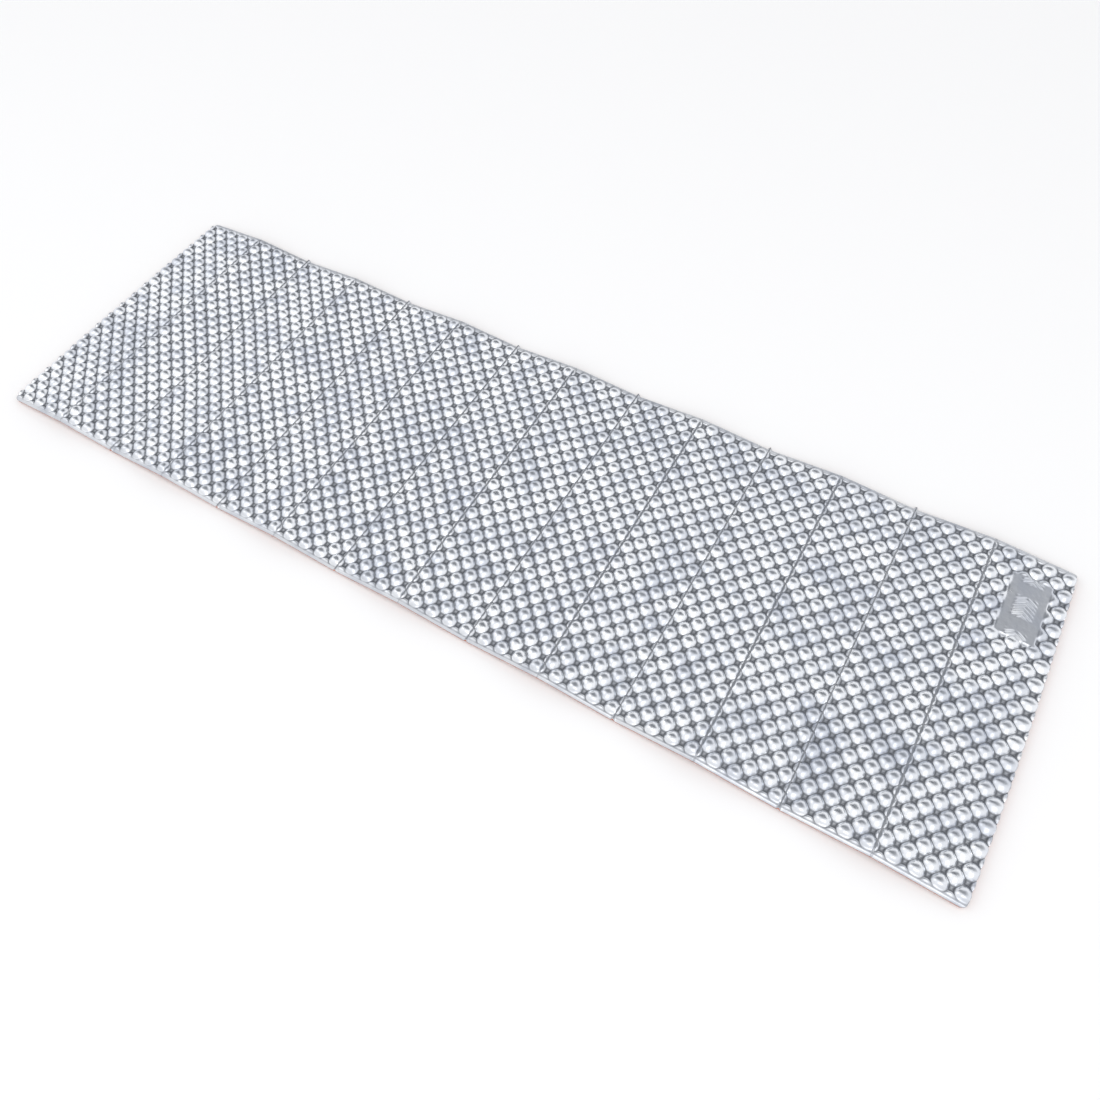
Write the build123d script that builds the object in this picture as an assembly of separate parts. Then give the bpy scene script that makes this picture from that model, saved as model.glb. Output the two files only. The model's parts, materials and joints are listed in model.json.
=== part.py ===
from build123d import *
import math
import os

# A concertina sleeping pad: one egg-crate foam sheet with a film skin, pressed into
# fourteen panels by thirteen creases. Millimetres, +X along the pad, +Z up, with the
# origin under the middle of the pad on the ground.

# The pad laid out
PAD_LENGTH = 1800.0
PAD_WIDTH = 570.0
PANEL_COUNT = 14
PANEL_TILT = 3.8          # degrees that each panel leans at rest, up to a ridge, down to a valley

# The sheet, measured square to a panel
SHEET_THICKNESS = 9.0     # foam and film together
FILM_THICKNESS = 0.3
BUMP_HEIGHT = 4.5         # of a bump over the sheet's middle level, and of a dimple under it
STACK_GAP = 1.5           # left between two panels that are folded onto each other
FOOT_SQUASH = 0.35        # taken off the lowest bumps where they rest on the ground

# The lattice of bumps
COLUMNS = 8               # along a panel
ROWS = 33                 # across the pad
ROW_PITCH = 16.8

# The creases
CREASE_WIDTH = 3.0
CREASE_THICKNESS = 1.2
CREASE_CLEARANCE = 0.1    # between a crease and the panel that swings on it

# The smooth field pressed into the top of the last panel
FIELD_COLUMNS = range(2, 6)
FIELD_ROWS = range(24, 31)

TILT = math.radians(PANEL_TILT)
STACK_PITCH = SHEET_THICKNESS + STACK_GAP
EDGE = CREASE_WIDTH / 2
END_LEAN = ((PANEL_COUNT - 1) * STACK_PITCH + SHEET_THICKNESS) * math.sin(TILT)
PANEL_LENGTH = (PAD_LENGTH - END_LEAN) / math.cos(TILT) / PANEL_COUNT + CREASE_WIDTH / PANEL_COUNT
COLUMN_PITCH = (PANEL_LENGTH - CREASE_WIDTH) / COLUMNS
CREASE_PITCH = PANEL_LENGTH * math.cos(TILT) + STACK_PITCH * math.sin(TILT)
SHEET_HEIGHT = SHEET_THICKNESS / 2 + BUMP_HEIGHT
VALLEY_HEIGHT = (
    (SHEET_HEIGHT + STACK_PITCH / 2) * math.cos(TILT)
    - (EDGE + COLUMN_PITCH / 2) * math.sin(TILT)
    - FOOT_SQUASH
)
RIDGE_HEIGHT = VALLEY_HEIGHT + PANEL_LENGTH * math.sin(TILT) - STACK_PITCH * math.cos(TILT)


def is_ridge(crease):
    """The odd creases are ridges, which close underneath; the even ones are valleys."""
    return crease % 2 == 1


def pivot(crease):
    """The line that a crease turns about, as its X and Z."""
    height = RIDGE_HEIGHT if is_ridge(crease) else VALLEY_HEIGHT
    return (crease - PANEL_COUNT / 2) * CREASE_PITCH, height


def lattice_x(column):
    return EDGE + column * COLUMN_PITCH


def lattice_y(row):
    return (row - ROWS / 2) * ROW_PITCH


def egg_crate(column, row):
    """+1 where the sheet bulges up, -1 where it bulges down, 0 outside the lattice."""
    if 0 <= column < COLUMNS and 0 <= row < ROWS:
        return 1 if (column + row) % 2 else -1
    return 0


def egg_crate_with_field(column, row):
    """The same, but level where the smooth field is."""
    if column in FIELD_COLUMNS and row in FIELD_ROWS:
        return 0
    return egg_crate(column, row)


def flat_face(points):
    return Face(Wire.make_polygon(points, close=True))


def cell_faces(column, row, level, bulge):
    """One lattice cell: a level square, or its share of the slopes round its peak."""
    rise = bulge(column, row) * BUMP_HEIGHT
    x, y = lattice_x(column), lattice_y(row)
    right, far = lattice_x(column + 1), lattice_y(row + 1)
    corners = [(x, y, level), (right, y, level), (right, far, level), (x, far, level)]
    if rise == 0:
        return [flat_face(corners)]
    peak = ((x + right) / 2, (y + far) / 2, level + rise)
    faces = []
    for side, (over, up) in enumerate([(0, -1), (1, 0), (0, 1), (-1, 0)]):
        start, end = corners[side], corners[(side + 1) % 4]
        if bulge(column + over, row + up) * rise >= 0:
            faces.append(flat_face([peak, start, end]))
        elif over + up > 0:
            other = (peak[0] + over * COLUMN_PITCH, peak[1] + up * ROW_PITCH, level - rise)
            faces.append(flat_face([peak, start, other, end]))
    return faces


def border_faces(level):
    """The flat strips along the two long edges of the sheet."""
    faces = []
    for inner, outer in [(lattice_y(0), -PAD_WIDTH / 2), (lattice_y(ROWS), PAD_WIDTH / 2)]:
        line = [(lattice_x(column), inner, level) for column in range(COLUMNS + 1)]
        line += [(lattice_x(COLUMNS), outer, level), (lattice_x(0), outer, level)]
        faces.append(flat_face(line))
    return faces


def relief_faces(level, bulge):
    """One side of the sheet."""
    faces = border_faces(level)
    for column in range(COLUMNS):
        for row in range(ROWS):
            faces += cell_faces(column, row, level, bulge)
    return faces


def end_face(x, low, high):
    """The cut across the sheet at one end of a panel."""
    across = [-PAD_WIDTH / 2] + [lattice_y(row) for row in range(ROWS + 1)] + [PAD_WIDTH / 2]
    under = [(x, y, low) for y in across]
    over = [(x, y, high) for y in reversed(across)]
    return flat_face(under + over)


def side_face(y, low, high):
    near, far = lattice_x(0), lattice_x(COLUMNS)
    return flat_face([(near, y, low), (far, y, low), (far, y, high), (near, y, high)])


def layer(low, high, low_bulge, high_bulge):
    """A layer of the sheet between two levels, as one closed solid."""
    faces = relief_faces(low, low_bulge) + relief_faces(high, high_bulge)
    faces += [end_face(lattice_x(column), low, high) for column in (0, COLUMNS)]
    faces += [side_face(y, low, high) for y in (-PAD_WIDTH / 2, PAD_WIDTH / 2)]
    return Solid(Shell(faces))


def foam_layer(top_bulge):
    half = SHEET_THICKNESS / 2
    return layer(-half, half - FILM_THICKNESS, egg_crate, top_bulge)


def film_layer(bulge):
    half = SHEET_THICKNESS / 2
    return layer(half - FILM_THICKNESS, half, bulge, bulge)


def panel_place(panel):
    """Where a panel lies. An odd one climbs to the ridge at its far end, an even one drops from it."""
    climbs = panel % 2 == 1
    ridge_x, ridge_z = pivot(panel if climbs else panel - 1)
    lean = -PANEL_TILT if climbs else PANEL_TILT
    start = -PANEL_LENGTH if climbs else 0
    return Pos(ridge_x, 0, ridge_z) * Rot(0, lean, 0) * Pos(start, 0, STACK_PITCH / 2)


def above_ground(solid):
    """The solid with its lowest bumps squashed flat on the ground."""
    return solid.split(Plane.XY, keep=Keep.TOP)


def turned(x, z, degrees):
    """A point of the XZ plane turned about the origin, up on its +X side."""
    angle = math.radians(degrees)
    return x * math.cos(angle) - z * math.sin(angle), x * math.sin(angle) + z * math.cos(angle)


def crease_strip(crease):
    """The pressed strip that joins two panels, bent a little as they lean at rest."""
    side = 1 if is_ridge(crease) else -1
    near, far = side * STACK_GAP / 2, side * (STACK_GAP / 2 + CREASE_THICKNESS)
    held = EDGE - CREASE_CLEARANCE
    left, right = (held, EDGE) if crease == 1 else (EDGE, held)
    lean = side * PANEL_TILT
    outline = [turned(-left, near, lean), (0, near), turned(right, near, -lean)]
    outline += [turned(right, far, -lean), (0, far), turned(-left, far, lean)]
    x, z = pivot(crease)
    back = PAD_WIDTH / 2
    profile = flat_face([(x + px, back, z + pz) for px, pz in outline])
    return Solid.extrude(profile, Vector(0, -PAD_WIDTH, 0))


def write(shape, node):
    export_step(shape, f"parts/{node}.step", write_pcurves=False)


os.makedirs("parts", exist_ok=True)
plain_foam, field_foam = foam_layer(egg_crate), foam_layer(egg_crate_with_field)
plain_film, field_film = film_layer(egg_crate), film_layer(egg_crate_with_field)

for panel in range(1, PANEL_COUNT + 1):
    last = panel == PANEL_COUNT
    place = panel_place(panel)
    write(above_ground(place * (field_foam if last else plain_foam)), f"foam_panel_{panel:02d}")
    write(place * (field_film if last else plain_film), f"film_panel_{panel:02d}")

for crease in range(1, PANEL_COUNT):
    write(crease_strip(crease), f"crease_{crease:02d}")
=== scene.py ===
"""A folding foam sleeping pad whose upper face is covered with aluminised film.

One sheet of closed-cell foam is pressed into an egg-crate relief, edged with a flat border along its
two long sides, and pressed thin along thirteen creases. They divide it into fourteen panels that fold
onto each other like a fan. Every panel lies in a frame of its own: X runs along the pad, Y across it,
and Z is zero at the sheet's middle level.
"""

import json
import logging
import math
from dataclasses import dataclass, field
from enum import Enum
from typing import Any, Mapping, Sequence

import bpy
import numpy as np
from mathutils import Matrix, Vector


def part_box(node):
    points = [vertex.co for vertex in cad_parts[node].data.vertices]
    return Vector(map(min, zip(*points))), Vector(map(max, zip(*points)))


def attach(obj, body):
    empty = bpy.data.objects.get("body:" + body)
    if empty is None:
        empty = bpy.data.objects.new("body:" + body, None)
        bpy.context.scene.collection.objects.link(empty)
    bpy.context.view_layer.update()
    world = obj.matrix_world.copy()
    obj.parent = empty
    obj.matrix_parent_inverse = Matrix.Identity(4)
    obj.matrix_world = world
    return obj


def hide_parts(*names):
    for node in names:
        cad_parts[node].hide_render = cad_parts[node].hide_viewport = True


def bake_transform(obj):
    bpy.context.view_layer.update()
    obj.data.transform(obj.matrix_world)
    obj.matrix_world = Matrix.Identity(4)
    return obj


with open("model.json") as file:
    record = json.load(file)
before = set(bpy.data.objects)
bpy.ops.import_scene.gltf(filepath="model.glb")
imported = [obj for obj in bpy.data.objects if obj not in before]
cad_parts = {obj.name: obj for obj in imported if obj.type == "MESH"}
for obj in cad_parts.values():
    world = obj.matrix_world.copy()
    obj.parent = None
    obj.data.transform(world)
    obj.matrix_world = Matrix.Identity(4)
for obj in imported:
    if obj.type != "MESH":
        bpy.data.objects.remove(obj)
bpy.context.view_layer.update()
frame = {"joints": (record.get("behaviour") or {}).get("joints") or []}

log = logging.getLogger("sleeping_pad")

# Painted shade: the film's material darkens where this attribute is high, in its tight grooves, on its
# border and on the creases.
GROOVE_SHADE = "groove"          # the attribute that marks the tight grooves of the film
MM = 0.001

Colour = tuple[float, float, float, float]


# Node trees ------------------------------------------------------------------------------------------


class Wire:
    """A value in a node tree. Python's operators on it add Math nodes."""

    def __init__(self, graph: "Graph", socket: bpy.types.NodeSocket) -> None:
        """Keeps the output socket and the graph that it belongs to."""
        self.graph = graph
        self.socket = socket

    def _math(self, operation: str, *values: "Number") -> "Wire":
        """Adds one Math node that works on the values."""
        return self.graph.add("ShaderNodeMath", {"operation": operation}, dict(enumerate(values)))[0]

    def __add__(self, other: "Number") -> "Wire":
        """The sum."""
        return self._math("ADD", self, other)

    __radd__ = __add__

    def __sub__(self, other: "Number") -> "Wire":
        """The difference."""
        return self._math("SUBTRACT", self, other)

    def __rsub__(self, other: "Number") -> "Wire":
        """The difference, for a number on the left."""
        return self._math("SUBTRACT", other, self)

    def __mul__(self, other: "Number") -> "Wire":
        """The product."""
        return self._math("MULTIPLY", self, other)

    __rmul__ = __mul__

    def __truediv__(self, other: "Number") -> "Wire":
        """The quotient."""
        return self._math("DIVIDE", self, other)

    def __pow__(self, other: "Number") -> "Wire":
        """The power."""
        return self._math("POWER", self, other)

    def __gt__(self, other: "Number") -> "Wire":
        """One where it is greater, else zero."""
        return self._math("GREATER_THAN", self, other)

    def __abs__(self) -> "Wire":
        """The absolute value."""
        return self._math("ABSOLUTE", self)

    def most(self, other: "Number") -> "Wire":
        """The larger of the two."""
        return self._math("MAXIMUM", self, other)

    def swing(self, reach: "Number") -> "Wire":
        """Runs from zero to the reach and back, again and again."""
        return self._math("PINGPONG", self, reach)

    def hypotenuse(self, other: "Wire") -> "Wire":
        """The distance from the origin of the point with these two coordinates."""
        return self._math("SQRT", self * self + other * other)

    def step(self, low: "Number", high: "Number") -> "Wire":
        """A smooth step.

        Args:
            low: The value at which the step is still zero. It may be above high.
            high: The value at which the step has reached one.

        Returns:
            A value from zero to one.
        """
        sockets = {"Value": self, "From Min": low, "From Max": high}
        return self.graph.add("ShaderNodeMapRange", {"interpolation_type": "SMOOTHSTEP"}, sockets)[0]

    def toward(self, other: "Number", share: "Number") -> "Wire":
        """This value where the share is zero, and the other where it is one."""
        return self + (other - self) * share


Number = float | Wire


class Outputs:
    """The outputs of one node, by name or place."""

    def __init__(self, graph: "Graph", node: bpy.types.Node) -> None:
        """Keeps the node and its graph."""
        self.graph = graph
        self.node = node

    def __getitem__(self, key: str | int) -> Wire:
        """The output with that name or place."""
        return Wire(self.graph, self.node.outputs[key])


class Graph:
    """A node tree under construction."""

    def __init__(self, tree: bpy.types.NodeTree) -> None:
        """Starts from an empty tree."""
        self.tree = tree
        tree.nodes.clear()

    def add(
        self,
        kind: str,
        settings: Mapping[str, Any] | None = None,
        inputs: Mapping[str | int, Any] | None = None,
    ) -> Outputs:
        """Adds a node.

        Args:
            kind: The node's type.
            settings: Its properties, which are set first. "stops" are a colour ramp's (place, colour).
            inputs: The value or the wire for each input socket, by name or place.

        Returns:
            The node's outputs.
        """
        node = self.tree.nodes.new(kind)
        for name, value in (settings or {}).items():
            if name == "stops":
                self._set_stops(node.color_ramp, value)
            else:
                setattr(node, name, value)
        for key, value in (inputs or {}).items():
            if isinstance(value, Wire):
                self.tree.links.new(value.socket, node.inputs[key])
            else:
                node.inputs[key].default_value = value
        return Outputs(self, node)

    @staticmethod
    def _set_stops(ramp: bpy.types.ColorRamp, stops: Sequence[tuple[float, Colour]]) -> None:
        """Gives a colour ramp its stops."""
        while len(ramp.elements) < len(stops):
            ramp.elements.new(1.0)
        for element, (place, colour) in zip(ramp.elements, stops):
            element.position = place
            element.color = colour

    def colours(self, first: Colour | Wire, second: Colour | Wire, share: Number) -> Wire:
        """A mix of two colours: the first where the share is zero, and the second where it is one."""
        sockets = {0: share, 6: first, 7: second}
        return self.add("ShaderNodeMix", {"data_type": "RGBA"}, sockets)[2]

    def noise(self, place: Wire, size: float, detail: float = 2.0, seed: Number = 0.0) -> Wire:
        """Smooth noise.

        Args:
            place: The position that it varies with.
            size: The width of its larger features, in metres.
            detail: How many finer layers it has.
            seed: What makes one panel's noise unlike another's.

        Returns:
            A value that mostly lies between 0.2 and 0.8.
        """
        sockets = {"Vector": place, "W": seed, "Scale": 1.0 / size, "Detail": detail}
        return self.add("ShaderNodeTexNoise", {"noise_dimensions": "4D"}, sockets)[0]


# Finishes --------------------------------------------------------------------------------------------


@dataclass(frozen=True)
class Finish:
    """A material that is made once and then shared by the pieces that have it."""

    name: str

    def material(self) -> bpy.types.Material:
        """The finish as a material."""
        found = bpy.data.materials.get(self.name)
        if found:
            return found
        made = bpy.data.materials.new(self.name)
        made.use_nodes = True
        graph = Graph(made.node_tree)
        place = graph.add("ShaderNodeTexCoord")["Object"]
        shader = graph.add("ShaderNodeBsdfPrincipled", inputs=self.sockets(graph, place))["BSDF"]
        graph.add("ShaderNodeOutputMaterial", inputs={"Surface": shader})
        return made

    def sockets(self, graph: Graph, place: Wire) -> dict[str, Any]:
        """What the surface shader's sockets are given."""
        raise NotImplementedError


@dataclass(frozen=True)
class FilmFinish(Finish):
    """Aluminised plastic film, pressed with the foam and finely wrinkled by it, with painted shade in its
    grooves.
    """

    name: str = "aluminised_film"
    bright: Colour = (0.80, 0.82, 0.85, 1.0)
    dull: Colour = (0.60, 0.63, 0.69, 1.0)
    # Painted shade: the film is darkened to this colour in its tight grooves, on its border and on the
    # creases, in place of their occlusion and dark reflections.
    groove_shade_colour: Colour = (0.19, 0.20, 0.22, 1.0)
    wrinkle: float = 1.7 * MM       # widths of the wrinkles, the dents and the clouds of haze
    dent: float = 6.0 * MM
    haze: float = 42.0 * MM
    haze_range: tuple[float, float] = (0.35, 0.7)   # of the clouds' noise, from clear to hazy
    wrinkle_height: float = 0.16    # heights, as shares of the bump's depth
    dent_height: float = 0.5
    bump_depth: float = 0.8 * MM
    bump_strength: float = 0.55
    roughness: float = 0.24         # of clear smooth film, and what is added to it
    haze_roughness: float = 0.09
    wrinkle_roughness: float = 0.05
    pinch_roughness: float = 0.2

    def sockets(self, graph: Graph, place: Wire) -> dict[str, Any]:
        """Silver that is hazier in clouds, with fine wrinkles, shallow dents and painted shade in the
        grooves.
        """
        cloud = graph.noise(place, self.haze, detail=3.0, seed=1.5).step(*self.haze_range)
        wrinkles = graph.noise(place, self.wrinkle, detail=2.0, seed=2.5)
        dents = graph.noise(place, self.dent, detail=1.0, seed=3.5)
        height = wrinkles * self.wrinkle_height + dents * self.dent_height
        groove_shade_share = graph.add("ShaderNodeAttribute", {"attribute_name": GROOVE_SHADE})["Fac"]
        silver = graph.colours(self.bright, self.dull, cloud)
        bump = {"Strength": self.bump_strength, "Distance": self.bump_depth, "Height": height}
        hazy = self.roughness + self.haze_roughness * cloud
        return {
            # Painted shade: the base colour goes dark where the groove attribute is high.
            "Base Color": graph.colours(silver, self.groove_shade_colour, groove_shade_share),
            "Metallic": 1.0,
            "Roughness": hazy + self.wrinkle_roughness * wrinkles + self.pinch_roughness * groove_shade_share,
            "Normal": graph.add("ShaderNodeBump", inputs=bump)["Normal"],
        }


@dataclass(frozen=True)
class FoamFinish(Finish):
    """Closed-cell foam: matt, with a pressed skin, fine pores and slightly uneven colour."""

    name: str = "closed_cell_foam"
    fresh: Colour = (0.47, 0.135, 0.07, 1.0)
    worn: Colour = (0.35, 0.10, 0.055, 1.0)
    pore: float = 0.9 * MM          # widths of the cells, the worn patches and the skin's waves
    cloud: float = 30.0 * MM
    skin: float = 4.0 * MM
    pore_range: tuple[float, float] = (0.2, 0.75)   # of the distance from a cell's middle
    cloud_range: tuple[float, float] = (0.3, 0.75)  # of the patches' noise, from fresh to worn
    cloud_wear: float = 0.55        # how far the colour goes from fresh to worn
    # how far the pores are darkened, towards the worn colour
    pore_darkening: float = 0.35
    skin_height: float = 0.4        # heights, as shares of the bump's depth
    pore_height: float = -0.5
    bump_depth: float = 0.4 * MM
    bump_strength: float = 0.5
    roughness: float = 0.62
    pore_roughness: float = 0.2     # what the pores add to it
    specular: float = 0.35
    sheen: float = 0.15

    def sockets(self, graph: Graph, place: Wire) -> dict[str, Any]:
        """Orange-red foam with darker pores between its cells."""
        cells = graph.add("ShaderNodeTexVoronoi", inputs={"Vector": place, "Scale": 1.0 / self.pore})
        pores = cells["Distance"].step(*self.pore_range)
        patches = graph.noise(place, self.cloud, detail=3.0, seed=4.5).step(*self.cloud_range)
        skin = graph.noise(place, self.skin, detail=2.0, seed=5.5)
        height = self.skin_height * skin + self.pore_height * pores
        bump = {"Strength": self.bump_strength, "Distance": self.bump_depth, "Height": height}
        darkening = self.cloud_wear * patches + self.pore_darkening * pores
        return {
            "Base Color": graph.colours(self.fresh, self.worn, darkening),
            "Roughness": self.roughness + self.pore_roughness * pores,
            "Specular IOR Level": self.specular,
            "Sheen Weight": self.sheen,
            "Normal": graph.add("ShaderNodeBump", inputs=bump)["Normal"],
        }


@dataclass(frozen=True)
class FloorFinish(Finish):
    """A plain pale floor with a barely uneven surface."""

    name: str = "pale_floor"
    pale: Colour = (0.93, 0.93, 0.93, 1.0)
    patch: float = 0.4              # width of its patches, in metres
    roughness: float = 0.85
    patch_roughness: float = 0.1    # what they add to it

    def sockets(self, graph: Graph, place: Wire) -> dict[str, Any]:
        """Matt white."""
        patches = graph.noise(place, self.patch)
        return {"Base Color": self.pale, "Roughness": self.roughness + self.patch_roughness * patches}


# The pressed sheet -----------------------------------------------------------------------------------


class Fold(Enum):
    """What lies along an edge of a panel. The value goes to the relief's fold inputs."""

    FREE = 0.0      # the pad's cut end
    RIDGE = -1.0    # a crease near the sheet's lower face, on which the panels close underneath
    VALLEY = 1.0    # a crease near the sheet's upper face, on which they close on top


@dataclass(frozen=True)
class Relief:
    """The sizes of the egg-crate relief, in metres. Heights are from the sheet's middle level."""

    columns: int = 8                # of the lattice, along a panel
    rows: int = 33                  # across the pad
    row_pitch: float = 16.8 * MM
    ground: float = 0.9 * MM        # level of the grooves between the bumps
    rise: float = 6.4 * MM          # of a bump above them, on the upper face
    foot_rise: float = 7.0 * MM     # and on the lower face
    fullness: float = 2.5           # of a bump: 1 would be a cone, and more is flatter on top
    foot_fullness: float = 2.2
    roundness: float = 2.6          # of a bump's outline: 2 is a circle, and more is squarer
    outline: float = 0.92           # how far out from its centre, of 1, the tight groove begins
    dimple: tuple[float, float] = (1.08, 1.3)   # how far out a dimple begins, and is fully there
    dimple_fade: float = 0.6        # how much less painted shade its film gets
    dip: float = 1.5 * MM           # of a dimple below the grooves that meet in it
    dip_power: float = 3.0          # more draws it in towards its middle
    slack: float = 0.9 * MM         # most that the uneven pressing takes off a height
    patch: float = 24.0 * MM        # width of the patches in which it does
    patch_range: tuple[float, float] = (0.25, 0.75)     # of their noise, from nothing to the most
    film: float = 0.3 * MM          # thickness of the film
    seat: float = 0.9 * MM          # added to it where its lower face is hidden
    seat_side: float = 4.0 * MM     # over which that is added from a panel's sides inwards
    seat_end: float = 1.6 * MM      # and from its ends
    crease: float = 4.4 * MM        # level of a crease's face nearer to its hinge line
    ridge_top: float = 2.2 * MM     # level of a ridge's upper face
    valley_foot: float = -1.2 * MM  # and of a valley's lower face
    crease_reach: float = 1.7 * MM  # over which the relief is pressed down to a crease
    border: float = 12.5 * MM       # width of the flat border, with the slope down to it
    border_slope: float = 7.0 * MM
    border_painted_shade: float = 0.3       # how much painted shade its film gets, next to 1 in the tight grooves
    border_top: float = 0.7 * MM
    border_foot: float = -4.2 * MM
    lip: float = 3.5 * MM           # over which the border's edge rounds down
    lip_drop: float = 2.8 * MM
    corner: float = 7.0 * MM        # radius of the corners at the pad's cut ends
    bow_reach: float = 0.14         # share of a panel's length over which its cut end bows

    def border_share(self, from_side: np.ndarray) -> np.ndarray:
        """How far the relief has gone over to the flat border, by the distance from the pad's side."""
        share = np.clip((self.border - from_side) / self.border_slope, 0.0, 1.0)
        return share * share * (3.0 - 2.0 * share)

    def lip_level(self, from_side: np.ndarray) -> np.ndarray:
        """The level of the border and its rounded edge, by the distance from the pad's side."""
        share = np.clip(1.0 - from_side / self.lip, 0.0, 1.0)
        return self.border_top - self.lip_drop * share * share * (3.0 - 2.0 * share)

    def crease_levels(self, fold: "Fold") -> tuple[float, float]:
        """The levels of a crease's upper and lower faces."""
        if fold is Fold.VALLEY:
            return self.crease, self.valley_foot
        return self.ridge_top, -self.crease


@dataclass(frozen=True)
class LabelField:
    """A smooth pressed field near the pad's end, with plain embossed ribs. Places are a panel's own."""

    centre: tuple[float, float] = (70.6 * MM, 179.5 * MM)
    size: tuple[float, float] = (64.0 * MM, 117.0 * MM)
    soft: float = 5.0 * MM
    level: float = 4.2 * MM
    rib_pitch: float = 7.0 * MM
    rib_rise: float = 0.9 * MM
    rib_length: float = 26.0 * MM
    rib_slant: float = 0.6              # of a rib along Y, for each step away from its middle
    rib_edge: tuple[float, float] = (0.35, 0.8)     # of the way from groove to rib, where its side is
    middle_group: float = 16.0 * MM     # half the length of the middle group of ribs
    end_group: float = 43.0 * MM        # where the groups at both ends begin


class Layer(Enum):
    """The two layers of the sheet. The value is the name of the relief's tree."""

    FILM = "film_relief"
    FOAM = "foam_relief"


@dataclass
class ReliefTree:
    """The geometry nodes that press a flat blank into one layer of a panel."""

    layer: Layer
    relief: Relief
    label: LabelField
    tree: bpy.types.NodeTree = field(init=False)

    SIZES = (
        "Length", "Half Width", "Edge", "Column Pitch", "Start Fold", "End Fold", "Label", "Bow", "Seed",
    )

    def __post_init__(self) -> None:
        """Builds the tree."""
        self.tree = bpy.data.node_groups.new(self.layer.value, "GeometryNodeTree")
        faces = self.tree.interface
        faces.new_socket("Geometry", in_out="INPUT", socket_type="NodeSocketGeometry")
        for name in self.SIZES:
            faces.new_socket(name, in_out="INPUT", socket_type="NodeSocketFloat")
        faces.new_socket("Finish", in_out="INPUT", socket_type="NodeSocketMaterial")
        faces.new_socket("Geometry", in_out="OUTPUT", socket_type="NodeSocketGeometry")
        self._build()

    def _build(self) -> None:
        """Moves every vertex of the blank to its place in the pressed layer."""
        graph = Graph(self.tree)
        given = graph.add("NodeGroupInput")
        spot = graph.add("GeometryNodeInputPosition")["Position"]
        axes = graph.add("ShaderNodeSeparateXYZ", inputs={0: spot})
        x, y, side = axes["X"], axes["Y"], axes["Z"]
        patches = graph.noise(spot, self.relief.patch, detail=1.0, seed=given["Seed"])
        unevenness = patches.step(*self.relief.patch_range)
        first, second = self._diagonals(x, y, given)
        radius = self._radius(first, second)
        dome = self.relief.rise * (1.0 - radius ** self.relief.fullness)
        upper = self._pressed(dome, first * second, unevenness)
        upper = self._labelled(upper, x, y, given)
        upper = self._edged(upper, x, y, given, is_upper=True)
        seat = upper - self._seat(x, y, given)
        if self.layer is Layer.FILM:
            lower = seat
        else:
            first, second = 1.0 - second, 1.0 - first
            reach = self._radius(first, second) ** self.relief.foot_fullness
            foot = self.relief.foot_rise * (1.0 - reach)
            lower = 0.0 - self._pressed(foot, first * second, unevenness)
            lower = self._edged(lower, x, y, given, is_upper=False)
            upper = seat
        height = lower.toward(upper, side > 0.0)
        moved = graph.add("ShaderNodeCombineXYZ", inputs={0: self._ended(x, y, given), 1: y, 2: height})
        # The film's painted shade, stored for its material to darken with.
        sockets = {
            "Geometry": given["Geometry"], "Name": GROOVE_SHADE, "Value": self._painted_groove_shade(radius, x, y, given),
        }
        marked = graph.add("GeometryNodeStoreNamedAttribute", {"data_type": "FLOAT"}, sockets)["Geometry"]
        sockets = {"Geometry": marked, "Position": moved[0]}
        shaped = graph.add("GeometryNodeSetPosition", inputs=sockets)["Geometry"]
        real = graph.add("GeometryNodeRealizeInstances", inputs={"Geometry": shaped})["Geometry"]
        sockets = {"Geometry": real, "Material": given["Finish"]}
        dressed = graph.add("GeometryNodeSetMaterial", inputs=sockets)["Geometry"]
        graph.add("NodeGroupOutput", inputs={"Geometry": dressed})

    def _diagonals(self, x: Wire, y: Wire, given: Outputs) -> tuple[Wire, Wire]:
        """How far a point is from its bump's centre along both diagonals of the lattice.

        Bumps and dimples alternate like the squares of a chessboard. So the grooves between bumps run
        along the diagonals, from dimple to dimple, and each distance is 0 at a centre and 1 in a groove.
        The same distances from a dimple's centre are 1 minus these two.
        """
        column = (x - given["Edge"]) / given["Column Pitch"] - 0.5
        row = y / self.relief.row_pitch + (self.relief.rows - 1) / 2
        odd = (column - 1.0).swing(1.0)
        even = row.swing(1.0)
        return (odd + even).swing(1.0), abs(odd - even)

    def _radius(self, first: Wire, second: Wire) -> Wire:
        """How far out a point is in its bump, whose outline is a rounded square and lies at 1."""
        power = self.relief.roundness
        return (first ** power + second ** power) ** (1.0 / power)

    def _pressed(self, dome: Wire, corner: Wire, unevenness: Wire) -> Wire:
        """The height of one face, outwards from the middle level.

        Args:
            dome: The bump's height over the grooves, and less than zero outside it.
            corner: One in the dimples where four grooves meet, and less elsewhere.
            unevenness: From zero to one.

        Returns:
            The height. Two such faces nest when they are laid on each other.
        """
        sizes = self.relief
        bump = dome.most(0.0) - sizes.dip * corner ** sizes.dip_power
        return bump + sizes.ground - sizes.slack * unevenness

    def _painted_groove_shade(self, radius: Wire, x: Wire, y: Wire, given: Outputs) -> Wire:
        """Painted shade: one in the tight grooves between the bumps, and zero on them and on the plain
        parts.
        """
        sizes = self.relief
        inner = (given["Half Width"] - abs(y)).step(sizes.border - sizes.border_slope, sizes.border)
        dimple = radius.step(*sizes.dimple)
        tight = radius.step(sizes.outline, 1.0) * (1.0 - dimple * sizes.dimple_fade)
        tight = tight * inner + sizes.border_painted_shade * (1.0 - inner)
        return tight * (1.0 - self._inside(x, y, given))

    def _from_label(self, x: Wire, y: Wire) -> tuple[Wire, Wire]:
        """How far a point is from the smooth field's centre, along the panel and across it."""
        return abs(x - self.label.centre[0]), abs(y - self.label.centre[1])

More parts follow.
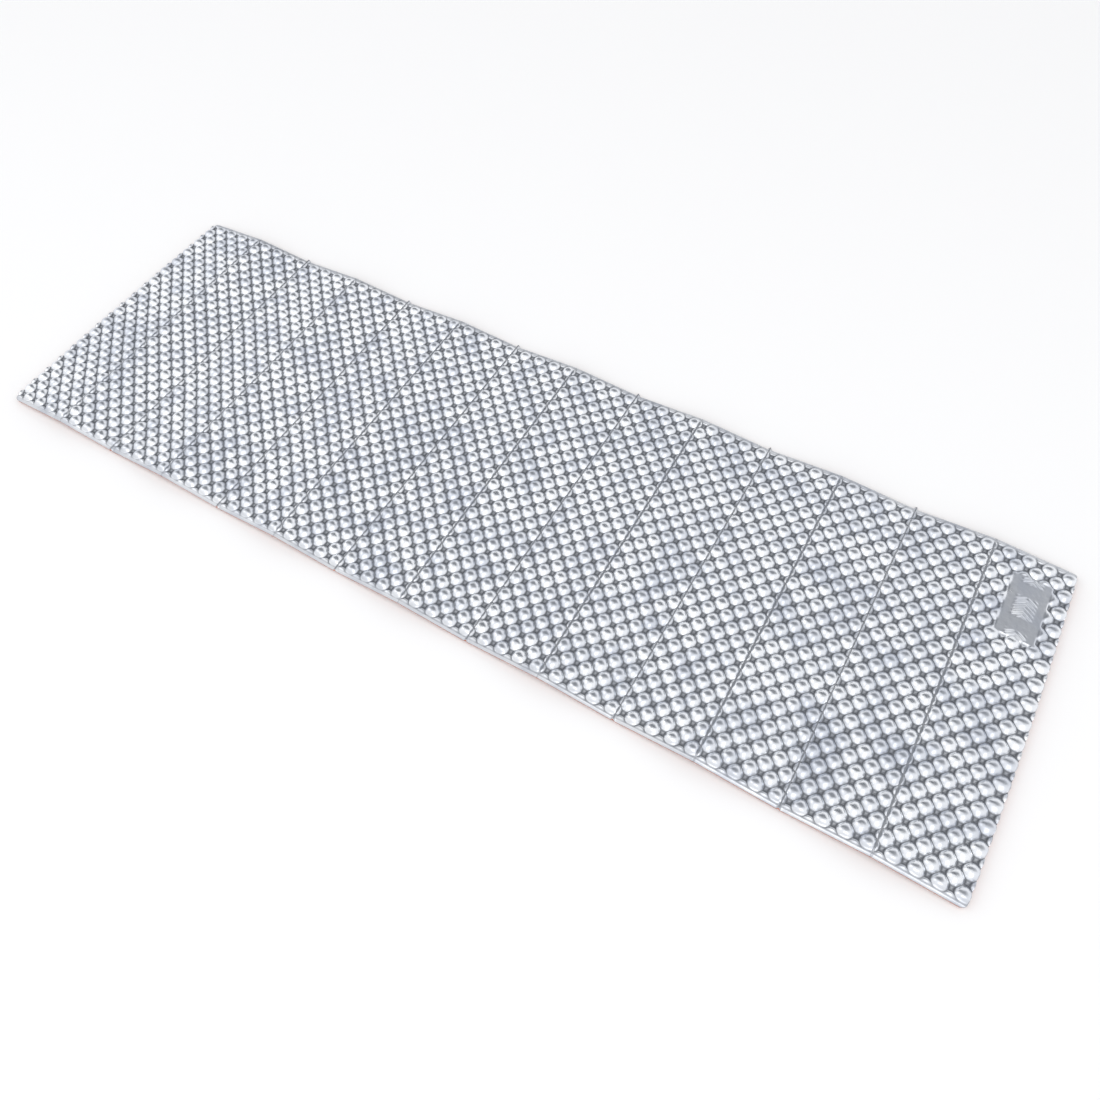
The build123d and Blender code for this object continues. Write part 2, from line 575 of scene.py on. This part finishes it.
    def _inside(self, x: Wire, y: Wire, given: Outputs) -> Wire:
        """One inside the smooth field of a panel that has it, and zero outside."""
        share: Number = given["Label"]
        for distance, size in zip(self._from_label(x, y), self.label.size):
            share = share * distance.step((size + self.label.soft) / 2, (size - self.label.soft) / 2)
        return share

    def _labelled(self, height: Wire, x: Wire, y: Wire, given: Outputs) -> Wire:
        """The upper face with the smooth field and its ribs pressed in."""
        label = self.label
        across, along = self._from_label(x, y)
        wave = (y + label.rib_slant * across).swing(label.rib_pitch / 2) / (label.rib_pitch / 2)
        ribbed = across.step(label.rib_length / 2 + label.soft, label.rib_length / 2)
        middle = along.step(label.middle_group + label.soft, label.middle_group)
        ends = along.step(label.end_group, label.end_group + label.soft)
        rib = wave.step(*label.rib_edge) * ribbed * middle.most(ends) * label.rib_rise
        return height.toward(label.level + rib, self._inside(x, y, given))

    def _edged(self, height: Wire, x: Wire, y: Wire, given: Outputs, is_upper: bool) -> Wire:
        """A face with its long borders pressed flat and its creases pressed thin.

        Args:
            height: The face without them.
            x: Along the panel.
            y: Across it.
            given: The tree's inputs.
            is_upper: Whether it is the upper face. Its border's edge is rounded, and its ridges dip to
                that border.

        Returns:
            The face's height.
        """
        sizes = self.relief
        from_side = given["Half Width"] - abs(y)
        flat = from_side.step(sizes.border, sizes.border - sizes.border_slope)
        face = 0 if is_upper else 1
        valley, ridge = (sizes.crease_levels(fold)[face] for fold in (Fold.VALLEY, Fold.RIDGE))
        border: Number = sizes.border_foot
        if is_upper:
            border = sizes.border_top - from_side.step(sizes.lip, 0.0) * sizes.lip_drop
            ridge = border.toward(ridge, 1.0 - flat)
        height = height.toward(border, flat)
        for distance, fold in (
            (x - given["Edge"], given["Start Fold"]),
            (given["Length"] - given["Edge"] - x, given["End Fold"]),
        ):
            level = valley * (fold > 0.0) + ridge * (0.0 - fold > 0.0)
            pressed = distance.step(sizes.crease_reach, 0.0) * abs(fold)
            height = height.toward(level, pressed)
        return height

    def _seat(self, x: Wire, y: Wire, given: Outputs) -> Wire:
        """How far under the film's face the layers meet: by its thickness at the rim, and inside by more.

        The extra depth keeps the foam's coarser mesh out of the film's finer one, where neither shows.
        """
        inside = (given["Half Width"] - abs(y)).step(0.0, self.relief.seat_side)
        for distance in (x - given["Edge"], given["Length"] - given["Edge"] - x):
            inside = inside * distance.step(0.0, self.relief.seat_end)
        return self.relief.film + self.relief.seat * inside

    def _ended(self, x: Wire, y: Wire, given: Outputs) -> Wire:
        """Where a point lies along the panel, with the pad's free ends bowed and their corners rounded."""
        half, radius = given["Half Width"], self.relief.corner
        share = y / half
        bowed = given["Bow"] * (1.0 - share * share)
        over = (abs(y) - (half - radius)).most(0.0)
        cut = radius - (radius * radius - over * over) ** 0.5
        reach = given["Length"] * self.relief.bow_reach
        for distance, fold, sign in (
            (x - given["Edge"], given["Start Fold"], -1.0),
            (given["Length"] - given["Edge"] - x, given["End Fold"], 1.0),
        ):
            free = 1.0 - abs(fold)
            grown = distance.step(reach, 0.0) * bowed
            trimmed = distance.step(2.0 * radius, 0.0) * cut
            x = x + (grown - trimmed) * free * sign
        return x

    def press(
        self, blank: bpy.types.Mesh, name: str, sizes: Mapping[str, float], finish: Finish
    ) -> bpy.types.Mesh:
        """Presses a blank.

        Args:
            blank: The flat mesh, with its upper face at a positive Z and its lower face at a negative one.
            name: The pressed mesh's name.
            sizes: The tree's number inputs, by name.
            finish: What the layer is made of.

        Returns:
            The layer as a plain mesh in the panel's own frame.
        """
        carrier = bpy.data.objects.new(name + "_blank", blank)
        bpy.context.scene.collection.objects.link(carrier)
        modifier = carrier.modifiers.new("press", "NODES")
        modifier.node_group = self.tree
        inputs = [item for item in self.tree.interface.items_tree if item.in_out == "INPUT"]
        keys = {item.name: item.identifier for item in inputs}
        for label, value in sizes.items():
            modifier[keys[label]] = value
        modifier[keys["Finish"]] = finish.material()
        carrier.update_tag()
        graph = bpy.context.evaluated_depsgraph_get()
        mesh = bpy.data.meshes.new_from_object(carrier.evaluated_get(graph))
        mesh.name = name
        bpy.data.objects.remove(carrier)
        return mesh


@dataclass(frozen=True)
class Blank:
    """A flat closed slab of triangles, from which a layer is pressed. Its faces lie at Z = 1 and Z = -1.

    On the pressed faces the triangles' long sides run along the grooves, from dimple to dimple.
    """

    along: np.ndarray           # the vertices' places along the panel
    across: np.ndarray          # and across it
    squares: np.ndarray         # which quads of the upper face are cut along their rising diagonal
    bottom_stride: int = 1      # how many places the lower face goes on by, from vertex to vertex
    is_relief_below: bool = False   # whether the lower face has bumps of its own

    def mesh(self, name: str) -> bpy.types.Mesh:
        """The slab as a mesh, smooth on both faces and flat round its rim."""
        top, top_points = self._face(1, 1.0, 0)
        bottom, bottom_points = self._face(self.bottom_stride, -1.0, len(top_points))
        below = self.squares[::self.bottom_stride, ::self.bottom_stride]
        upper = self._triangles(top, self.squares)
        lower = self._triangles(bottom, below ^ self.is_relief_below)
        smooth = upper + [face[::-1] for face in lower]
        rims = [
            (top[:, 0], bottom[:, 0]),
            (top[-1, :], bottom[-1, :]),
            (top[::-1, -1], bottom[::-1, -1]),
            (top[0, ::-1], bottom[0, ::-1]),
        ]
        flat = [face for over, under in rims for face in self._rim(over, under)]
        made = bpy.data.meshes.new(name)
        made.from_pydata(np.concatenate([top_points, bottom_points]).tolist(), [], smooth + flat)
        made.polygons.foreach_set("use_smooth", [True] * len(smooth) + [False] * len(flat))
        made.update()
        return made

    def _face(self, stride: int, height: float, first: int) -> tuple[np.ndarray, np.ndarray]:
        """One face's vertices.

        Args:
            stride: How many places it goes on by, from vertex to vertex.
            height: Its Z.
            first: The number of its first vertex.

        Returns:
            The vertices' numbers as a table, and their points.
        """
        along, across = self.along[::stride], self.across[::stride]
        x, y = np.meshgrid(along, across, indexing="ij")
        points = np.stack([x.ravel(), y.ravel(), np.full(x.size, height)], axis=1)
        return np.arange(x.size).reshape(x.shape) + first, points

    @staticmethod
    def _triangles(table: np.ndarray, rising: np.ndarray) -> list[tuple[int, ...]]:
        """Two triangles in each quad of a table, facing up.

        Args:
            table: The vertices' numbers.
            rising: Whether a quad is cut along its rising diagonal.

        Returns:
            The triangles.
        """
        near, right, far, left = (
            corner.ravel() for corner in (table[:-1, :-1], table[1:, :-1], table[1:, 1:], table[:-1, 1:])
        )
        cut = rising.ravel()
        third, fourth = np.where(cut, far, left), np.where(cut, near, right)
        halves = np.concatenate(
            [np.stack([near, right, third], axis=1), np.stack([far, left, fourth], axis=1)]
        )
        return [tuple(face) for face in halves.tolist()]

    @staticmethod
    def _rim(upper: np.ndarray, lower: np.ndarray) -> list[tuple[int, ...]]:
        """The faces between the two faces' edges, each with one step of the lower edge."""
        share = (len(upper) - 1) // (len(lower) - 1)
        faces = []
        for step in range(len(lower) - 1):
            over = upper[step * share:(step + 1) * share + 1][::-1]
            faces.append((int(lower[step]), int(lower[step + 1]), *(int(vertex) for vertex in over)))
        return faces


# The pad ---------------------------------------------------------------------------------------------


@dataclass
class Panel:
    """One panel: its foam and the film on it."""

    number: int
    start: Fold
    end: Fold
    place: Matrix       # from the panel's own frame to the pad's
    length: float
    half_width: float
    edge: float
    column_pitch: float
    label: bool = False
    bow: float = 0.0
    seed_step: float = 3.7      # from one panel's noise to the next one's

    @property
    def body(self) -> str:
        """The name of the body that the panel is."""
        return f"panel_{self.number:02d}"

    def sizes(self) -> dict[str, float]:
        """The number inputs of a relief tree."""
        return {
            "Length": self.length,
            "Half Width": self.half_width,
            "Edge": self.edge,
            "Column Pitch": self.column_pitch,
            "Start Fold": self.start.value,
            "End Fold": self.end.value,
            "Label": float(self.label),
            "Bow": self.bow,
            "Seed": self.seed_step * self.number,
        }

    def build(self, tree: ReliefTree, blank: bpy.types.Mesh, finish: Finish) -> bpy.types.Object:
        """Presses one layer and puts it in its place.

        Args:
            tree: What presses it.
            blank: What it is pressed from.
            finish: What it is made of.

        Returns:
            The layer's piece, which rides on nothing yet.
        """
        kind = "film_skin" if tree.layer is Layer.FILM else "foam_core"
        name = f"{kind}_{self.number:02d}"
        mesh = tree.press(blank, name, self.sizes(), finish)
        mesh.transform(self.place)
        piece = bpy.data.objects.new(name, mesh)
        bpy.context.scene.collection.objects.link(piece)
        return piece

    def dress(self, foam: bpy.types.Object, film: bpy.types.Object) -> None:
        """Hangs the two layers on the panel's body in place of its plain solids."""
        for piece, node, slot in ((foam, "foam_panel", "foam"), (film, "film_panel", "film")):
            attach(piece, self.body)
            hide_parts(f"{node}_{self.number:02d}")
        cut = (2 * self.half_width, self.length - 2 * self.edge)
        log.info("%s: %d and %d faces", self.body, len(foam.data.polygons), len(film.data.polygons))


@dataclass
class Crease:
    """The strip between two panels, where foam and film are pressed thin and bend as a hinge."""

    number: int
    before: Panel
    after: Panel
    relief: Relief
    across: np.ndarray      # its vertices' places across the pad
    segments: int = 6
    groove_shade_share: float = 0.5      # how much painted shade its film gets, next to 1 in the tight grooves

    @property
    def is_ridge(self) -> bool:
        """Whether the panels close underneath it."""
        return self.before.end is Fold.RIDGE

    def _line(self, level: float) -> np.ndarray:
        """The strip's cross-section at one level of the panels, as points in the pad's XZ plane.

        The line leaves each panel in that panel's own direction, so the strip is a shallow arc.
        """
        before, after = self.before, self.after
        first = before.place @ Vector((before.length - before.edge, 0.0, level))
        last = after.place @ Vector((after.edge, 0.0, level))
        tip = before.place @ Vector((before.length, 0.0, level)) + after.place @ Vector((0.0, 0.0, level))
        start, middle, end = (np.array((p.x, p.z)) for p in (first, tip / 2, last))
        shares = np.linspace(0.0, 1.0, self.segments + 1)[:, None]
        return (1 - shares) ** 2 * start + 2 * shares * (1 - shares) * middle + shares ** 2 * end

    def levels(self) -> tuple[np.ndarray, np.ndarray]:
        """The levels of its upper and lower faces across the pad. A ridge dips to the borders."""
        top, bottom = self.relief.crease_levels(self.before.end)
        upper = np.full(len(self.across), top)
        if self.is_ridge:
            from_side = self.before.half_width - np.abs(self.across)
            upper += (self.relief.lip_level(from_side) - top) * self.relief.border_share(from_side)
        return upper, np.full(len(self.across), bottom)

    def build(self, name: str, upper: np.ndarray, lower: np.ndarray, finish: Finish) -> bpy.types.Object:
        """Makes one layer of the strip.

        Args:
            name: The piece's name.
            upper: The levels of its upper face across the pad.
            lower: The levels of its lower face.
            finish: What it is made of.

        Returns:
            The layer's piece.
        """
        squares = np.ones((self.segments, len(self.across) - 1), bool)
        mesh = Blank(np.arange(self.segments + 1.0), self.across, squares).mesh(name)
        points = []
        for levels in (upper, lower):
            lines = np.stack([self._line(level) for level in levels.tolist()], axis=1)
            rows = np.broadcast_to(self.across[:, None], (*lines.shape[:2], 1))
            points.append(np.concatenate([lines[..., :1], rows, lines[..., 1:]], axis=2))
        mesh.vertices.foreach_set("co", np.concatenate(points).astype(np.float32).ravel())
        mesh.materials.append(finish.material())
        # Painted shade: the crease's film is darkened evenly by this share.
        groove_shade_share = mesh.attributes.new(GROOVE_SHADE, "FLOAT", "POINT")
        groove_shade_share.data.foreach_set("value", [self.groove_shade_share] * len(mesh.vertices))
        mesh.update()
        piece = bpy.data.objects.new(name, mesh)
        bpy.context.scene.collection.objects.link(piece)
        return piece

    def dress(self, foam: bpy.types.Object, film: bpy.types.Object) -> None:
        """Bakes both layers' places into their meshes and hides the crease's plain solid."""
        line = self._line(0.0)
        for piece, slot in ((foam, "crease"), (film, "film")):
            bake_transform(piece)
        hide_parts(f"crease_{self.number:02d}")
        log.info("crease_%02d: %s", self.number, "ridge" if self.is_ridge else "valley")


@dataclass
class SleepingPad:
    """The whole pad. Its folds' places come from the frame."""

    relief: Relief = field(default_factory=Relief)
    label: LabelField = field(default_factory=LabelField)
    film: Finish = field(default_factory=FilmFinish)
    foam: Finish = field(default_factory=FoamFinish)
    stack_pitch: float = 10.5 * MM      # from panel to panel when the pad is folded up
    edge: float = 0.7 * MM              # half a crease's width
    bow: float = 4.0 * MM               # by which the pad's cut ends bulge in their middles
    steps: int = 12                     # of the mesh over each square of the lattice
    border_steps: int = 6               # of the mesh over the border outside the lattice
    end_steps: int = 5                  # at each end that the foam's coarser mesh has too
    panels: list[Panel] = field(default_factory=list)
    creases: list[Crease] = field(default_factory=list)

    def __post_init__(self) -> None:
        """Works out every panel's place."""
        folds = {joint["name"]: Vector(joint["pos_m"]) for joint in frame["joints"]}
        count = len(folds) + 1
        span = folds["fold_02"] - folds["fold_01"]
        length = math.sqrt(span.x ** 2 + span.z ** 2 - self.stack_pitch ** 2)
        tilt = math.atan2(self.stack_pitch, length) - math.atan2(span.z, span.x)
        half_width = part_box("foam_panel_01")[1].y
        for number in range(1, count + 1):
            climbs = number % 2 == 1
            ridge = folds[f"fold_{number if climbs else number - 1:02d}"]
            hinge = Vector((length if climbs else 0.0, 0.0, -self.stack_pitch / 2))
            turn = Matrix.Rotation(-tilt if climbs else tilt, 4, "Y")
            is_end = number in (1, count)
            self.panels.append(
                Panel(
                    number=number,
                    start=Fold.FREE if number == 1 else Fold.VALLEY if climbs else Fold.RIDGE,
                    end=Fold.FREE if number == count else Fold.RIDGE if climbs else Fold.VALLEY,
                    place=Matrix.Translation(ridge) @ turn @ Matrix.Translation(-hinge),
                    length=length,
                    half_width=half_width,
                    edge=self.edge,
                    column_pitch=(length - 2 * self.edge) / self.relief.columns,
                    label=number == count,
                    bow=self.bow if is_end else 0.0,
                )
            )
        across = self._across()
        near_side = np.abs(across) > half_width - self.relief.border - self.relief.border_slope
        across = across[near_side | (np.arange(len(across)) % self.steps == 0)]
        for number, (before, after) in enumerate(zip(self.panels, self.panels[1:]), start=1):
            self.creases.append(Crease(number, before, after, self.relief, across))

    def _across(self) -> np.ndarray:
        """Where the meshes' vertices lie across the pad."""
        last_row = self.relief.rows * self.relief.row_pitch / 2
        lattice = np.linspace(-last_row, last_row, self.relief.rows * self.steps + 1)
        border = np.linspace(last_row, self.panels[0].half_width, self.border_steps + 1)[1:]
        return np.concatenate([-border[::-1], lattice, border])

    def _blanks(self) -> tuple[bpy.types.Mesh, bpy.types.Mesh]:
        """The flat blanks of the film and of the foam, whose meshes meet where the layers do."""
        panel, relief = self.panels[0], self.relief
        along = np.linspace(self.edge, panel.length - self.edge, relief.columns * self.steps + 1)
        across = self._across()
        column = np.arange(len(along) - 1) + self.steps // 2
        row = np.arange(len(across) - 1) - self.border_steps + self.steps // 2
        squares = (column[:, None] // self.steps + row[None, :] // self.steps) % 2 == 0
        film = Blank(along, across, squares, bottom_stride=2).mesh("film_blank")
        last = len(along) - 1
        is_kept = [step % 2 == 0 or min(step, last - step) < self.end_steps for step in range(last + 1)]
        kept = np.flatnonzero(is_kept)
        foam_squares = squares[kept[:-1], ::2]
        foam = Blank(along[kept], across[::2], foam_squares, is_relief_below=True).mesh("foam_blank")
        return film, foam

    def build(self) -> None:
        """Makes and dresses every panel and crease."""
        film_blank, foam_blank = self._blanks()
        film_tree = ReliefTree(Layer.FILM, self.relief, self.label)
        foam_tree = ReliefTree(Layer.FOAM, self.relief, self.label)
        for panel in self.panels:
            foam = panel.build(foam_tree, foam_blank, self.foam)
            film = panel.build(film_tree, film_blank, self.film)
            panel.dress(foam, film)
        for crease in self.creases:
            top, bottom = crease.levels()
            seat = top - self.relief.film
            foam = crease.build(f"crease_foam_{crease.number:02d}", seat, bottom, self.foam)
            film = crease.build(f"crease_film_{crease.number:02d}", top, seat, self.film)
            crease.dress(foam, film)


# The studio ------------------------------------------------------------------------------------------


@dataclass(frozen=True)
class SoftLight:
    """A square softbox."""

    name: str
    place: tuple[float, float, float]
    size: float
    power: float
    target: tuple[float, float, float] = (0.0, 0.0, 0.0)

    def build(self) -> None:
        """Puts the light in the scene."""
        lamp = bpy.data.lights.new(self.name, "AREA")
        lamp.shape = "SQUARE"
        lamp.size = self.size
        lamp.energy = self.power
        light = bpy.data.objects.new(self.name, lamp)
        bpy.context.scene.collection.objects.link(light)
        light.location = self.place
        away = Vector(self.target) - Vector(self.place)
        light.rotation_euler = away.to_track_quat("-Z", "Y").to_euler()


@dataclass
class Studio:
    """A pale floor, a soft surround, softboxes and the camera."""

    floor_half: float = 6.0
    shade_centre: tuple[float, float] = (-0.25, 0.45)   # the X and Y of the direction towards it
    shade_stretch: float = 0.38                         # of its distances along X
    shade_foot: float = 0.5                             # the Z below which it fades out
    shade: tuple[tuple[float, Colour], ...] = (         # by the distance from its centre
        (0.0, (0.17, 0.18, 0.20, 1.0)),
        (0.16, (0.20, 0.21, 0.23, 1.0)),
        (0.27, (0.42, 0.43, 0.45, 1.0)),
        (0.36, (1.12, 1.12, 1.13, 1.0)),
    )
    camera_place: tuple[float, float, float] = (0.594, -0.7083, 1.2329)
    azimuth: float = 0.6061         # radians that the camera is turned from +Y towards -X
    elevation: float = 1.0123       # radians that it looks down
    roll: float = -0.081
    focal: float = 883.59           # of the lens, in the units of the frame's width
    frame_width: float = 1100.0
    lights: tuple[SoftLight, ...] = (
        SoftLight("key_softbox", (1.5, -2.8, 3.4), size=3.0, power=38.0),
        SoftLight("fill_softbox", (-2.6, -0.9, 2.6), size=1.4, power=6.0),
    )

    def build(self) -> None:
        """Makes the whole studio."""
        self._floor()
        self._surround()
        for light in self.lights:
            light.build()
        self._camera()
        bpy.context.scene.view_settings.view_transform = "Standard"

    def _floor(self) -> None:
        """A plain floor under the pad."""
        half = self.floor_half
        mesh = bpy.data.meshes.new("floor")
        corners = [(-half, -half, 0.0), (half, -half, 0.0), (half, half, 0.0), (-half, half, 0.0)]
        mesh.from_pydata(corners, [], [(0, 1, 2, 3)])
        mesh.materials.append(FloorFinish().material())
        floor = bpy.data.objects.new("floor", mesh)
        bpy.context.scene.collection.objects.link(floor)

    def _surround(self) -> None:
        """A bright room with a dark shade high behind the pad, which its level parts mirror."""
        world = bpy.data.worlds.new("studio")
        bpy.context.scene.world = world
        world.use_nodes = True
        graph = Graph(world.node_tree)
        direction = graph.add("ShaderNodeTexCoord")["Generated"]
        axes = graph.add("ShaderNodeSeparateXYZ", inputs={0: direction})
        sideways = (axes["X"] - self.shade_centre[0]) * self.shade_stretch
        low = (self.shade_foot - axes["Z"]).most(0.0)
        distance = sideways.hypotenuse(axes["Y"] - self.shade_centre[1]) + low
        colour = graph.add("ShaderNodeValToRGB", {"stops": self.shade}, {0: distance})["Color"]
        background = graph.add("ShaderNodeBackground", inputs={"Color": colour, "Strength": 1.0})[0]
        graph.add("ShaderNodeOutputWorld", inputs={"Surface": background})

    def _camera(self) -> None:
        """Looks down on the pad from beside its near right corner."""
        flat = math.cos(self.elevation)
        ahead = Vector(
            (-flat * math.sin(self.azimuth), flat * math.cos(self.azimuth), -math.sin(self.elevation))
        )
        level_right = ahead.cross(Vector((0.0, 0.0, 1.0))).normalized()
        level_up = level_right.cross(ahead)
        right = math.cos(self.roll) * level_right + math.sin(self.roll) * level_up
        up = math.cos(self.roll) * level_up - math.sin(self.roll) * level_right
        lens = bpy.data.cameras.new("camera")
        lens.lens = lens.sensor_width * self.focal / self.frame_width
        camera = bpy.data.objects.new("camera", lens)
        bpy.context.scene.collection.objects.link(camera)
        turn = Matrix((right, up, -ahead)).transposed().to_4x4()
        camera.matrix_world = Matrix.Translation(self.camera_place) @ turn
        bpy.context.scene.camera = camera


def main() -> None:
    """Builds the studio and the pad."""
    logging.basicConfig(level=logging.INFO)
    Studio().build()
    SleepingPad().build()


if __name__ == "__main__":
    main()
